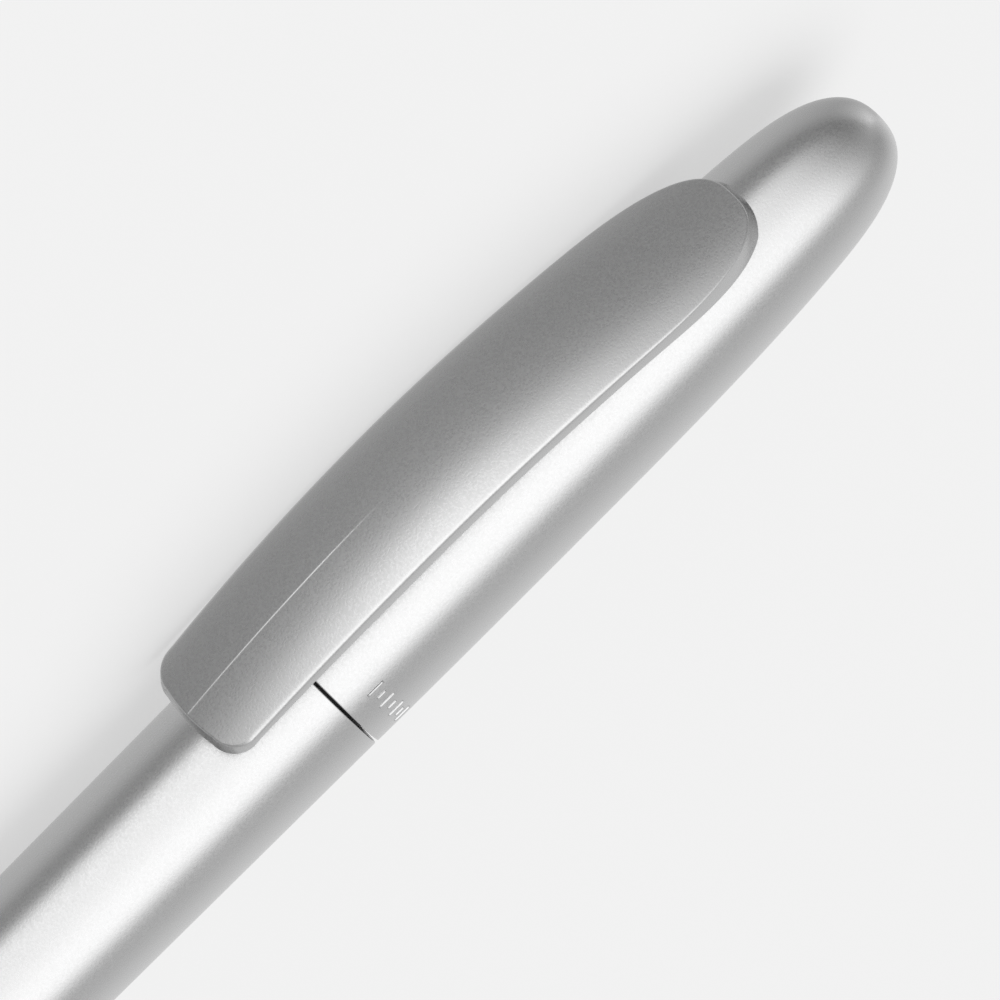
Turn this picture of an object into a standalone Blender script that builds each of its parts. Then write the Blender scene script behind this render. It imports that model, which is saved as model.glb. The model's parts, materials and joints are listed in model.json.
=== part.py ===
"""Twist-action ballpoint pen, built piece by piece and laid on its side with the tip extended.

The pieces are modelled on the pen's own axis: heights run along local Z from the seam between the
two casings, positive towards the dome, and the clip stands out along local Y. One empty then lays
the axis down, so that the casing and the clip's edge both rest on the ground plane.
"""

import math

import bmesh
import bpy
from mathutils import Vector

MM = 0.001

# Overall sizes, as heights above or below the seam
CASING_LENGTH = 53.2 * MM
BARREL_LENGTH = 68.0 * MM
NOSE_LENGTH = 20.0 * MM
REFILL_LENGTH = 98.1 * MM
TIP_REACH = 2.8 * MM
RETRACTION = 4.8 * MM
SEAM_GAP = 0.2 * MM
FACE_GAP = 0.3 * MM

# Upper casing: straight, then a slow taper, then the rounded dome
CASING_RADIUS = 5.9 * MM
CASING_RIM_INSET = 0.07 * MM
CASING_STRAIGHT = 20.0 * MM
CASING_TAPER = 1.73 * MM
DOME_HEIGHT = 13.2 * MM
DOME_HEIGHT_POWER = 5.0
DOME_RADIUS_POWER = 2.5
DOME_WALL = 1.3 * MM

# Lower barrel and nose cone
BARREL_STEP = 0.08 * MM
BARREL_END_RADIUS = 5.32 * MM
BARREL_BORE = 3.6 * MM
NOSE_RIM_RADIUS = 2.3 * MM
NOSE_HOLE = 1.45 * MM
NOSE_HOLE_LENGTH = 3.2 * MM
SPRING_ROOM = 2.6 * MM
SPRING_ROOM_LENGTH = 6.3 * MM
REFILL_ROOM = 3.3 * MM
TENON_RADIUS = 3.95 * MM
INSERT_WALL = 0.4 * MM
INSERT_LENGTH = 8.0 * MM

# Clip: an arched, crowned plate with a web and a lug under its upper end
CLIP_LOW = -7.58 * MM
CLIP_HIGH = 42.4 * MM
CLIP_PEAK = 13.0 * MM
CLIP_PEAK_LIFT = 4.03 * MM
CLIP_SEAT_LIFT = 0.2 * MM
CLIP_FRONT_ARCH = 125.0 * MM
CLIP_HALF_WIDTH = 5.27 * MM
CLIP_WIDEST = 18.0 * MM
CLIP_SIDE_ARC = 640.0 * MM
CLIP_CROWN = 16.0 * MM
CLIP_THICKNESS = 1.1 * MM
CLIP_CORNER = 2.1 * MM
CLIP_END_LENGTH = 12.0 * MM
CLIP_END_POWER = 2.9
CLIP_SEAT_GAP = 0.25 * MM
CLIP_ROWS = 30
CLIP_COLUMNS = 8
WEB_HALF_WIDTH = 2.2 * MM
WEB_LOW = 33.6 * MM
WEB_HIGH = 40.6 * MM
LUG_HALF_WIDTH = 1.9 * MM
LUG_LOW = 35.2 * MM
LUG_HIGH = 39.6 * MM
LUG_GRIP = 1.4 * MM
BUMP_RADIUS = 0.95 * MM
BUMP_WIDTH = 3.2 * MM
BUMP_HEIGHT = -5.2 * MM
FLEX_PIVOT_HEIGHT = 41.9 * MM
FLEX_PIVOT_SINK = 0.5 * MM
CUTTER_REACH = 5.0 * MM

# Twist mechanism, from the barrel up into the casing
FIT_GAP = 0.15 * MM
BUSH_LOW = -9.8 * MM
BUSH_HIGH = 12.2 * MM
BUSH_THREAD_STEP = 0.25 * MM
JOURNAL_GAP = 0.35 * MM
BUSH_BORE = 3.35 * MM
SKIRT_RADIUS = 3.85 * MM
SKIRT_LENGTH = 4.0 * MM
RING_HEIGHT = 6.0 * MM
RING_WIRE = 0.3 * MM
FLANGE_THICKNESS = 1.0 * MM
GUIDE_BORE = 3.0 * MM
GUIDE_RADIUS = 3.6 * MM
GUIDE_HIGH = 31.4 * MM
WASHER_THICKNESS = 0.5 * MM
CAM_WALL = 0.65 * MM
CAM_HIGH = 27.9 * MM
PLUNGER_RADIUS = 2.8 * MM
PLUNGER_HEAD = 6.8 * MM
PIN_RADIUS = 0.5 * MM
PIN_INSET = 0.2 * MM
PIN_HEIGHT = 18.2 * MM
SLOT_GAP = 0.2 * MM
HELIX_GAP = 0.3 * MM
TWIST = math.pi
KEY_HALF_WIDTH = 1.1 * MM
KEY_LENGTH = 0.9 * MM
DRIVE_FLANGE = 1.4 * MM
DRIVE_SKIRT = 3.4 * MM
DRIVE_WALL = 0.35 * MM
SNAP_RING_LIP = 0.4 * MM
SNAP_RING_THICKNESS = 0.6 * MM
SNAP_GROOVE_DEPTH = 0.25 * MM
SNAP_MOUTH_HALF = 0.9 * MM
RETAINER_MARGIN = 1.5 * MM

# Refill, measured back from its ball
BALL_RADIUS = 0.5 * MM
BALL_SOCKET = 0.62 * MM
BALL_SHOWING = 0.35 * MM
TIP_RADIUS = 1.15 * MM
TIP_RIM = 0.78 * MM
TIP_CONE = 3.0 * MM
TIP_LENGTH = 6.4 * MM
TIP_SPIGOT_RADIUS = 0.9 * MM
TIP_SPIGOT = 3.2 * MM
INK_CHANNEL = 0.4 * MM
NOSE_PIECE_RADIUS = 1.6 * MM
NOSE_PIECE_LENGTH = 8.5 * MM
COLLAR_RADIUS = 2.95 * MM
COLLAR_LENGTH = 1.8 * MM
SPIGOT_LENGTH = 6.0 * MM
TUBE_RADIUS = 3.0 * MM
TUBE_BORE = 2.45 * MM
TAIL_COLLAR = 3.2 * MM
VENT_RADIUS = 0.6 * MM
VENT_SLOT_HALF = 0.5 * MM
VENT_SLOT_DEPTH = 1.2 * MM
INK_LENGTH = 48.0 * MM
FOLLOWER_LENGTH = 4.0 * MM

# Return spring
SPRING_WIRE = 0.2 * MM
SPRING_RADIUS = 2.1 * MM
SPRING_TURNS = 6
SPRING_POINTS_PER_TURN = 12

# Facets round each turned piece
OUTER_FACETS = 56
INNER_FACETS = 28
FINE_FACETS = 16
BALL_RINGS = 10
RUBBER_RING_SIDES = 10
MERGE = 0.00001

# Heights that follow from the sizes above
NOSE_RIM = -(BARREL_LENGTH + NOSE_LENGTH)
BALL_FRONT = NOSE_RIM - TIP_REACH
REFILL_REAR = BALL_FRONT + REFILL_LENGTH
GUIDE_LOW = BUSH_HIGH + FIT_GAP
FLANGE_HIGH = GUIDE_LOW + FLANGE_THICKNESS
WASHER_LOW = FLANGE_HIGH + FIT_GAP
CAM_LOW = WASHER_LOW + WASHER_THICKNESS + FIT_GAP
DRIVE_LOW = CAM_HIGH + FACE_GAP
SNAP_RING_LOW = DRIVE_LOW + DRIVE_FLANGE + FACE_GAP
PLUNGER_LOW = REFILL_REAR + FACE_GAP
PLUNGER_HIGH = PIN_HEIGHT + PLUNGER_HEAD
TUBE_LOW = BALL_FRONT + TIP_LENGTH + NOSE_PIECE_LENGTH + COLLAR_LENGTH + FIT_GAP
TUBE_HIGH = REFILL_REAR - TAIL_COLLAR - FIT_GAP

# Radii and rises that follow from the sizes above, from the guide sleeve outwards
CAM_BORE = GUIDE_RADIUS + FIT_GAP
CAM_RADIUS = CAM_BORE + CAM_WALL
CASING_BORE = CAM_RADIUS + FACE_GAP
BUSH_JOURNAL_RADIUS = CASING_BORE - JOURNAL_GAP
BUSH_THREAD_RADIUS = BUSH_JOURNAL_RADIUS + BUSH_THREAD_STEP
DRIVE_RADIUS = CASING_BORE - FIT_GAP
SNAP_RING_RADIUS = GUIDE_RADIUS + SNAP_RING_LIP
PIN_HALF_LENGTH = CAM_RADIUS - PIN_INSET
INSERT_RADIUS = TENON_RADIUS + FIT_GAP + INSERT_WALL
BARREL_TOP_RADIUS = CASING_RADIUS - BARREL_STEP
CLIP_PEAK_RISE = CASING_RADIUS + CLIP_PEAK_LIFT
CLIP_SEAT_RISE = CASING_RADIUS + CLIP_SEAT_LIFT
FLEX_PIVOT_RISE = CASING_RADIUS - FLEX_PIVOT_SINK
LUG_DEPTH = CASING_BORE - LUG_GRIP

MATERIALS = {
    "silver_lacquer": ((0.60, 0.60, 0.61), 0.34, 0.75),
    "brass": ((0.78, 0.60, 0.28), 0.30, 1.0),
    "steel": ((0.62, 0.62, 0.63), 0.25, 1.0),
    "carbide": ((0.40, 0.40, 0.42), 0.15, 1.0),
    "black_plastic": ((0.03, 0.03, 0.03), 0.50, 0.0),
    "white_plastic": ((0.80, 0.80, 0.77), 0.45, 0.0),
    "rubber": ((0.02, 0.02, 0.02), 0.75, 0.0),
    "ink": ((0.01, 0.01, 0.03), 0.20, 0.0),
    "grease": ((0.70, 0.62, 0.40), 0.30, 0.0),
}


def clear_scene():
    for obj in list(bpy.data.objects):
        bpy.data.objects.remove(obj, do_unlink=True)


def make_collection(name):
    group = bpy.data.collections.new(name)
    bpy.context.scene.collection.children.link(group)
    return group


def make_material(name):
    colour, roughness, metallic = MATERIALS[name]
    material = bpy.data.materials.new(name)
    material.use_nodes = True
    shader = material.node_tree.nodes["Principled BSDF"]
    shader.inputs["Base Color"].default_value = (*colour, 1.0)
    shader.inputs["Roughness"].default_value = roughness
    shader.inputs["Metallic"].default_value = metallic
    return material


def make_empty(name, parent=None, location=(0.0, 0.0, 0.0)):
    empty = bpy.data.objects.new(name, None)
    empty.empty_display_size = 5.0 * MM
    empty.parent = parent
    empty.location = location
    PARTS.objects.link(empty)
    return empty


def add_object(name, mesh, material=None, parent=None, location=(0.0, 0.0, 0.0)):
    """A part when it has a material, and a cutter otherwise."""
    obj = bpy.data.objects.new(name, mesh)
    obj.parent = parent or PEN_AXIS
    obj.location = location
    if material is None:
        obj.hide_render = True
        obj.display_type = "WIRE"
        CUTTERS.objects.link(obj)
    else:
        mesh.materials.append(FINISHES[material])
        PARTS.objects.link(obj)
    return obj


def turned(name, outline, material=None, facets=INNER_FACETS):
    """A turned piece from (radius, height) points that run down its outer side.

    An outline that leaves the axis open is a ring; one that starts and ends on it is solid.
    """
    base = min(height for _, height in outline)
    mesh = bpy.data.meshes.new(name)
    points = [(radius, 0.0, height - base) for radius, height in outline]
    edges = [(i, i + 1) for i in range(len(points) - 1)]
    if outline[0][0] > 0.0:
        edges.append((len(points) - 1, 0))
    mesh.from_pydata(points, edges, [])
    obj = add_object(name, mesh, material, location=(0.0, 0.0, base))
    screw = obj.modifiers.new("turn", "SCREW")
    screw.steps = facets
    screw.render_steps = facets
    screw.use_merge_vertices = True
    screw.merge_threshold = MERGE
    screw.use_smooth_shade = True
    shading = obj.modifiers.new("shading", "WEIGHTED_NORMAL")
    shading.weight = 100
    return obj


def ring(name, inner, outer, low, high, material=None, facets=INNER_FACETS):
    outline = [(outer, high), (outer, low), (inner, low), (inner, high)]
    return turned(name, outline, material, facets)


def rod(name, radius, low, high, material=None, facets=INNER_FACETS):
    outline = [(0.0, high), (radius, high), (radius, low), (0.0, low)]
    return turned(name, outline, material, facets)


def box(name, low, high):
    """A box-shaped cutter between two corners in pen coordinates."""
    low = Vector(low)
    size = Vector(high) - low
    mesh = bpy.data.meshes.new(name)
    shape = bmesh.new()
    bmesh.ops.create_cube(shape, size=1.0)
    bmesh.ops.scale(shape, vec=size, verts=shape.verts)
    shape.to_mesh(mesh)
    shape.free()
    return add_object(name, mesh, location=low + size / 2)


def cross_rod(name, radius, half_length, height, rise=0.0, material=None):
    """A rod across the pen, along local X."""
    mesh = bpy.data.meshes.new(name)
    shape = bmesh.new()
    bmesh.ops.create_cone(
        shape, cap_ends=True, segments=FINE_FACETS, radius1=radius, radius2=radius, depth=2 * half_length
    )
    shape.to_mesh(mesh)
    shape.free()
    obj = add_object(name, mesh, material, location=(0.0, rise, height))
    obj.rotation_euler = (0.0, math.radians(90.0), 0.0)
    return obj


def combine(obj, other, operation):
    modifier = obj.modifiers.new(other.name, "BOOLEAN")
    modifier.operation = operation
    modifier.solver = "EXACT"
    modifier.object = other


def cut(obj, *cutters):
    for cutter in cutters:
        combine(obj, cutter, "DIFFERENCE")


def join(obj, *others):
    for other in others:
        combine(obj, other, "UNION")


def curve_mesh(name, curve, material=None):
    """The evaluated curve as a closed mesh, with its caps welded on."""
    holder = bpy.data.objects.new(name + "_curve", curve)
    holder.parent = PEN_AXIS
    CUTTERS.objects.link(holder)
    bpy.context.view_layer.update()
    evaluated = holder.evaluated_get(bpy.context.evaluated_depsgraph_get())
    mesh = bpy.data.meshes.new_from_object(evaluated)
    place = holder.matrix_world.copy()
    bpy.data.objects.remove(holder)
    shape = bmesh.new()
    shape.from_mesh(mesh)
    bmesh.ops.remove_doubles(shape, verts=shape.verts, dist=MERGE)
    bmesh.ops.recalc_face_normals(shape, faces=shape.faces)
    shape.to_mesh(mesh)
    shape.free()
    mesh.shade_smooth()
    obj = add_object(name, mesh, material)
    bpy.context.view_layer.update()
    obj.matrix_world = place
    return obj


def helix(name, radius, wire, low, rise, turn, start, points, material=None):
    """A wire wound about the pen's axis, rising as it turns."""
    curve = bpy.data.curves.new(name, "CURVE")
    curve.dimensions = "3D"
    curve.bevel_depth = wire
    curve.bevel_resolution = 2
    curve.use_fill_caps = True
    spline = curve.splines.new("POLY")
    spline.points.add(points - 1)
    for i, point in enumerate(spline.points):
        along = i / (points - 1)
        angle = start + turn * along
        point.co = (radius * math.cos(angle), radius * math.sin(angle), low + rise * along, 1.0)
    return curve_mesh(name, curve, material)


# ---------------------------------------------------------------- casings


def casing_radius(height):
    """Outer radius of the upper casing at a height above the seam."""
    low = max(0.0, 1.0 - height / CASING_STRAIGHT)
    high = max(0.0, (height - CASING_STRAIGHT) / (CASING_LENGTH - CASING_STRAIGHT))
    radius = CASING_RADIUS - CASING_RIM_INSET * low**3 - CASING_TAPER * high**3
    up_dome = max(0.0, 1.0 - (CASING_LENGTH - height) / DOME_HEIGHT)
    return radius * (1.0 - min(1.0, up_dome) ** DOME_HEIGHT_POWER) ** (1.0 / DOME_RADIUS_POWER)


def casing_outline():
    """Down the outside from the dome's top to the rim."""
    dome_steps = 12
    dome = [CASING_LENGTH - DOME_HEIGHT * (i / dome_steps) ** 2 for i in range(dome_steps + 1)]
    straight_steps = 6
    dome_foot = CASING_LENGTH - DOME_HEIGHT
    rim = SEAM_GAP / 2
    side = [dome_foot + (rim - dome_foot) * i / straight_steps for i in range(1, straight_steps + 1)]
    return [(casing_radius(height), height) for height in dome + side]


def lug_space(name):
    """The room that the clip's lug needs on its way through the casing and into the retainer."""
    across = LUG_HALF_WIDTH + FACE_GAP
    low = (-across, LUG_DEPTH - FACE_GAP, LUG_LOW - FACE_GAP)
    return box(name, low, (across, CLIP_PEAK_RISE, LUG_HIGH + FACE_GAP))


def build_upper_casing():
    dome_foot = CASING_LENGTH - DOME_HEIGHT
    inner_dome = DOME_HEIGHT - DOME_WALL
    inside = [(CASING_BORE, SEAM_GAP / 2)]
    steps = 8
    for i in range(steps):
        angle = math.radians(90.0) * i / steps
        inside.append((CASING_BORE * math.cos(angle), dome_foot + inner_dome * math.sin(angle)))
    inside.append((0.0, dome_foot + inner_dome))
    casing = turned("upper_casing", casing_outline() + inside, "silver_lacquer", OUTER_FACETS)
    cut(casing, lug_space("clip_window_cutter"))


def barrel_radius(height):
    """Outer radius below the seam: an even taper to the nose joint."""
    return BARREL_TOP_RADIUS + (BARREL_END_RADIUS - BARREL_TOP_RADIUS) * (-height / BARREL_LENGTH)


def build_lower_barrel():
    top = -SEAM_GAP / 2
    end = -BARREL_LENGTH
    bush_bore = BUSH_THREAD_RADIUS + FIT_GAP
    insert_bore = INSERT_RADIUS + FIT_GAP
    insert_step = end + INSERT_LENGTH + 2 * FACE_GAP
    bush_step = BUSH_LOW - FIT_GAP
    outline = [(barrel_radius(top), top), (barrel_radius(end), end)]
    outline += [(insert_bore, end), (insert_bore, insert_step), (BARREL_BORE, insert_step)]
    outline += [(BARREL_BORE, bush_step), (bush_bore, bush_step), (bush_bore, top)]
    return turned("lower_barrel", outline, "silver_lacquer", OUTER_FACETS)


def nose_radius(fraction):
    """Outer radius of the nose cone, from 0 at the barrel to 1 at its rim."""
    return NOSE_RIM_RADIUS + (BARREL_END_RADIUS - NOSE_RIM_RADIUS) * math.cos(fraction * math.pi / 2) ** 0.9


def build_nose_cone():
    top = -BARREL_LENGTH - FIT_GAP
    steps = 8
    outline = []
    for i in range(steps + 1):
        fraction = i / steps
        outline.append((nose_radius(fraction), top + (NOSE_RIM - top) * fraction))
    spring_floor = NOSE_RIM + NOSE_HOLE_LENGTH
    spring_top = spring_floor + SPRING_ROOM_LENGTH
    tenon_top = -BARREL_LENGTH + INSERT_LENGTH
    outline += [(NOSE_HOLE, NOSE_RIM), (NOSE_HOLE, spring_floor), (SPRING_ROOM, spring_floor)]
    outline += [(SPRING_ROOM, spring_top), (REFILL_ROOM, spring_top), (REFILL_ROOM, tenon_top)]
    outline += [(TENON_RADIUS, tenon_top), (TENON_RADIUS, top)]
    return turned("nose_cone", outline, "silver_lacquer", OUTER_FACETS)


def build_nose_thread_insert():
    low = -BARREL_LENGTH + FACE_GAP
    inner = TENON_RADIUS + FIT_GAP
    ring("nose_thread_insert", inner, INSERT_RADIUS, low, low + INSERT_LENGTH, "brass")


# ---------------------------------------------------------------- clip


def clip_crest(height):
    """Height of the clip's centre line above the pen's axis."""
    if height < CLIP_PEAK:
        return CLIP_PEAK_RISE - (height - CLIP_PEAK) ** 2 / (2 * CLIP_FRONT_ARCH)
    fraction = (height - CLIP_PEAK) / (CLIP_HIGH - CLIP_PEAK)
    return CLIP_SEAT_RISE + (CLIP_PEAK_RISE - CLIP_SEAT_RISE) * math.cos(fraction * math.pi / 2)


def clip_half_width(height):
    """Half the clip's width: bowed sides, round corners below and a blunt round end above."""
    width = CLIP_HALF_WIDTH - (height - CLIP_WIDEST) ** 2 / (2 * CLIP_SIDE_ARC)
    below = height - CLIP_LOW
    if below < CLIP_CORNER:
        width -= CLIP_CORNER - math.sqrt(CLIP_CORNER**2 - (CLIP_CORNER - below) ** 2)
    to_end = min(1.0, (CLIP_HIGH - height) / CLIP_END_LENGTH)
    return width * (1.0 - (1.0 - to_end) ** CLIP_END_POWER) ** (1.0 / CLIP_END_POWER)


def clip_surface_rise(across, height):
    return clip_crest(height) - across**2 / (2 * CLIP_CROWN)


def build_clip_plate():
    """The plate's top surface as a mapped grid, given its thickness by Solidify."""
    mesh = bpy.data.meshes.new("clip")
    shape = bmesh.new()
    bmesh.ops.create_grid(shape, x_segments=CLIP_COLUMNS, y_segments=CLIP_ROWS, size=1.0)
    for vert in shape.verts:
        side, along = vert.co.x, vert.co.y
        share = (1.0 + math.sin(along * math.pi / 2)) / 2
        height = CLIP_LOW + (CLIP_HIGH - CLIP_LOW) * share
        across = side * clip_half_width(height)
        rise = clip_surface_rise(across, height)
        vert.co = (across, rise - FLEX_PIVOT_RISE, height - FLEX_PIVOT_HEIGHT)
    bmesh.ops.remove_doubles(shape, verts=shape.verts, dist=MERGE)
    bmesh.ops.recalc_face_normals(shape, faces=shape.faces)
    if sum((face.normal.y for face in shape.faces)) < 0.0:
        bmesh.ops.reverse_faces(shape, faces=shape.faces)
    shape.to_mesh(mesh)
    shape.free()
    clip = add_object("clip", mesh, "silver_lacquer", parent=CLIP_HINGE)
    plate = clip.modifiers.new("thickness", "SOLIDIFY")
    plate.thickness = CLIP_THICKNESS
    plate.offset = -1.0
    return clip


def clip_root_block(name, half_width, low, high):
    """A block under the clip's root, from the lug's depth up to the middle of the plate."""
    curve = bpy.data.curves.new(name, "CURVE")
    curve.dimensions = "2D"
    curve.fill_mode = "BOTH"
    curve.extrude = half_width
    steps = 5
    heights = [low + (high - low) * i / steps for i in range(steps + 1)]
    outline = [(height, clip_surface_rise(half_width, height) - CLIP_THICKNESS / 2) for height in heights]
    outline += [(high, LUG_DEPTH), (low, LUG_DEPTH)]
    spline = curve.splines.new("POLY")
    spline.points.add(len(outline) - 1)
    for point, (height, rise) in zip(spline.points, outline):
        point.co = (height, rise, 0.0, 1.0)
    spline.use_cyclic_u = True
    block = curve_mesh(name, curve)
    block.rotation_euler = (0.0, -math.pi / 2, 0.0)
    return block


def build_clip():
    clip = build_clip_plate()
    steps = 12
    top = CASING_LENGTH - CUTTER_REACH
    bottom = WEB_LOW - CUTTER_REACH
    envelope_outline = [(0.0, top)]
    for i in range(steps + 1):
        height = top + (bottom - top) * i / steps
        envelope_outline.append((casing_radius(height) + CLIP_SEAT_GAP, height))
    envelope_outline.append((0.0, bottom))
    envelope = turned("casing_envelope_cutter", envelope_outline, facets=OUTER_FACETS)
    web = clip_root_block("clip_web_cutter", WEB_HALF_WIDTH, WEB_LOW, WEB_HIGH)
    cut(web, envelope)
    lug = clip_root_block("clip_lug_cutter", LUG_HALF_WIDTH, LUG_LOW, LUG_HIGH)
    bump_rise = barrel_radius(BUMP_HEIGHT) + FACE_GAP + BUMP_RADIUS
    bump = cross_rod("clip_bump_cutter", BUMP_RADIUS, BUMP_WIDTH / 2, BUMP_HEIGHT, bump_rise)
    cut(clip, envelope)
    join(clip, web, lug, bump)


def build_clip_retainer():
    low = LUG_LOW - RETAINER_MARGIN
    retainer = rod("clip_retainer", DRIVE_RADIUS, low, LUG_HIGH + RETAINER_MARGIN, "black_plastic")
    cut(retainer, lug_space("lug_pocket_cutter"))


# ---------------------------------------------------------------- twist mechanism


def build_mechanism_bush():
    shoulder = -SEAM_GAP / 2 - FIT_GAP
    groove = BUSH_JOURNAL_RADIUS - RING_WIRE - FIT_GAP / 2
    groove_half = RING_WIRE + FIT_GAP / 2
    skirt_bore = SKIRT_RADIUS + FIT_GAP / 2
    skirt_floor = GUIDE_LOW - SKIRT_LENGTH - FIT_GAP
    outline = [(BUSH_JOURNAL_RADIUS, BUSH_HIGH), (BUSH_JOURNAL_RADIUS, RING_HEIGHT + groove_half)]
    outline += [(groove, RING_HEIGHT + groove_half), (groove, RING_HEIGHT - groove_half)]
    outline += [(BUSH_JOURNAL_RADIUS, RING_HEIGHT - groove_half), (BUSH_JOURNAL_RADIUS, shoulder)]
    outline += [(BUSH_THREAD_RADIUS, shoulder), (BUSH_THREAD_RADIUS, BUSH_LOW), (BUSH_BORE, BUSH_LOW)]
    outline += [(BUSH_BORE, skirt_floor), (skirt_bore, skirt_floor), (skirt_bore, BUSH_HIGH)]
    turned("mechanism_bush", outline, "black_plastic")


def build_friction_ring():
    outline = []
    for i in range(RUBBER_RING_SIDES):
        angle = -2 * math.pi * i / RUBBER_RING_SIDES
        radius = BUSH_JOURNAL_RADIUS + RING_WIRE * math.cos(angle)
        outline.append((radius, RING_HEIGHT + RING_WIRE * math.sin(angle)))
    turned("friction_ring", outline, "rubber")


def build_guide_sleeve():
    groove = GUIDE_RADIUS - SNAP_GROOVE_DEPTH
    groove_low = SNAP_RING_LOW - FIT_GAP / 2
    groove_high = SNAP_RING_LOW + SNAP_RING_THICKNESS + FIT_GAP / 2
    outline = [(GUIDE_RADIUS, GUIDE_HIGH), (GUIDE_RADIUS, groove_high), (groove, groove_high)]
    outline += [(groove, groove_low), (GUIDE_RADIUS, groove_low), (GUIDE_RADIUS, FLANGE_HIGH)]
    outline += [(CAM_RADIUS, FLANGE_HIGH), (CAM_RADIUS, GUIDE_LOW), (SKIRT_RADIUS, GUIDE_LOW)]
    outline += [(SKIRT_RADIUS, GUIDE_LOW - SKIRT_LENGTH), (BUSH_BORE, GUIDE_LOW - SKIRT_LENGTH)]
    outline += [(BUSH_BORE, GUIDE_LOW), (GUIDE_BORE, FLANGE_HIGH), (GUIDE_BORE, GUIDE_HIGH)]
    sleeve = turned("guide_sleeve", outline, "white_plastic")
    half = PIN_RADIUS + SLOT_GAP
    slots = box(
        "straight_slot_cutter",
        (-CAM_RADIUS - FIT_GAP, -half, PIN_HEIGHT - half),
        (CAM_RADIUS + FIT_GAP, half, PIN_HEIGHT + RETRACTION + half),
    )
    cut(sleeve, slots)


def build_thrust_washer():
    ring("thrust_washer", CAM_BORE, CAM_RADIUS, WASHER_LOW, WASHER_LOW + WASHER_THICKNESS, "steel")


def build_cam_sleeve():
    sleeve = ring("cam_sleeve", CAM_BORE, CAM_RADIUS, CAM_LOW, CAM_HIGH, "black_plastic")
    middle = (CAM_BORE + CAM_RADIUS) / 2
    cutter_radius = PIN_RADIUS + HELIX_GAP
    overrun = cutter_radius / middle
    pitch = RETRACTION / TWIST
    low = PIN_HEIGHT - pitch * overrun
    rise = pitch * (TWIST + 2 * overrun)
    turn = -(TWIST + 2 * overrun)
    points = 25
    for i, name in enumerate(("helix_slot_cutter_a", "helix_slot_cutter_b")):
        start = math.pi * i + overrun
        cut(sleeve, helix(name, middle, cutter_radius, low, rise, turn, start, points))
    key_low = CAM_HIGH - KEY_LENGTH
    key_high = CAM_HIGH + KEY_LENGTH
    low_corner = (-KEY_HALF_WIDTH, -CASING_BORE, key_low)
    keys = box("cam_key_cutter", low_corner, (KEY_HALF_WIDTH, CASING_BORE, key_high))
    key_ring = ring("cam_key_ring_cutter", CAM_BORE, CAM_RADIUS, key_low - KEY_LENGTH, key_high + KEY_LENGTH)
    combine(keys, key_ring, "INTERSECT")
    join(sleeve, keys)


def build_drive_bush():
    skirt_bore = DRIVE_RADIUS - DRIVE_WALL
    top = DRIVE_LOW + DRIVE_FLANGE + DRIVE_SKIRT
    flange_top = DRIVE_LOW + DRIVE_FLANGE
    outline = [(DRIVE_RADIUS, top), (DRIVE_RADIUS, DRIVE_LOW), (CAM_BORE, DRIVE_LOW)]
    outline += [(CAM_BORE, flange_top), (skirt_bore, flange_top), (skirt_bore, top)]
    bush = turned("drive_bush", outline, "black_plastic")
    half = KEY_HALF_WIDTH + FIT_GAP
    notch_top = CAM_HIGH + KEY_LENGTH + FIT_GAP
    notches = box("key_notch_cutter", (-half, -CASING_BORE, CAM_HIGH), (half, CASING_BORE, notch_top))
    cut(bush, notches)


def build_retaining_ring():
    inner = GUIDE_RADIUS - SNAP_GROOVE_DEPTH + FIT_GAP / 2
    high = SNAP_RING_LOW + SNAP_RING_THICKNESS
    snap = ring("retaining_ring", inner, SNAP_RING_RADIUS, SNAP_RING_LOW, high, "steel")
    low_corner = (0.0, -SNAP_MOUTH_HALF, SNAP_RING_LOW - FACE_GAP)
    cut(snap, box("ring_mouth_cutter", low_corner, (CASING_BORE, SNAP_MOUTH_HALF, high + FACE_GAP)))


def build_plunger():
    plunger = rod("plunger", PLUNGER_RADIUS, PLUNGER_LOW, PLUNGER_HIGH, "white_plastic")
    cut(plunger, cross_rod("pin_hole_cutter", PIN_RADIUS + FIT_GAP, PIN_HALF_LENGTH, PIN_HEIGHT))
    cross_rod("cam_pin", PIN_RADIUS, PIN_HALF_LENGTH, PIN_HEIGHT, material="steel")


# ---------------------------------------------------------------- refill


def build_tip_ball():
    mesh = bpy.data.meshes.new("tip_ball")
    shape = bmesh.new()
    bmesh.ops.create_uvsphere(shape, u_segments=FINE_FACETS, v_segments=BALL_RINGS, radius=BALL_RADIUS)
    shape.to_mesh(mesh)
    shape.free()
    mesh.shade_smooth()
    add_object("tip_ball", mesh, "carbide", location=(0.0, 0.0, BALL_FRONT + BALL_RADIUS))


def build_refill_tip():
    rim = BALL_FRONT + BALL_SHOWING
    socket_floor = BALL_FRONT + 2 * BALL_RADIUS + FIT_GAP
    shaft_rear = BALL_FRONT + TIP_LENGTH
    spigot_rear = shaft_rear + TIP_SPIGOT
    outline = [(TIP_SPIGOT_RADIUS, spigot_rear), (TIP_SPIGOT_RADIUS, shaft_rear), (TIP_RADIUS, shaft_rear)]
    outline += [(TIP_RADIUS, BALL_FRONT + TIP_CONE), (TIP_RIM, rim), (BALL_SOCKET, rim)]
    outline += [(BALL_SOCKET, socket_floor), (INK_CHANNEL, socket_floor), (INK_CHANNEL, spigot_rear)]
    turned("refill_tip", outline, "steel", FINE_FACETS)


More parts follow.
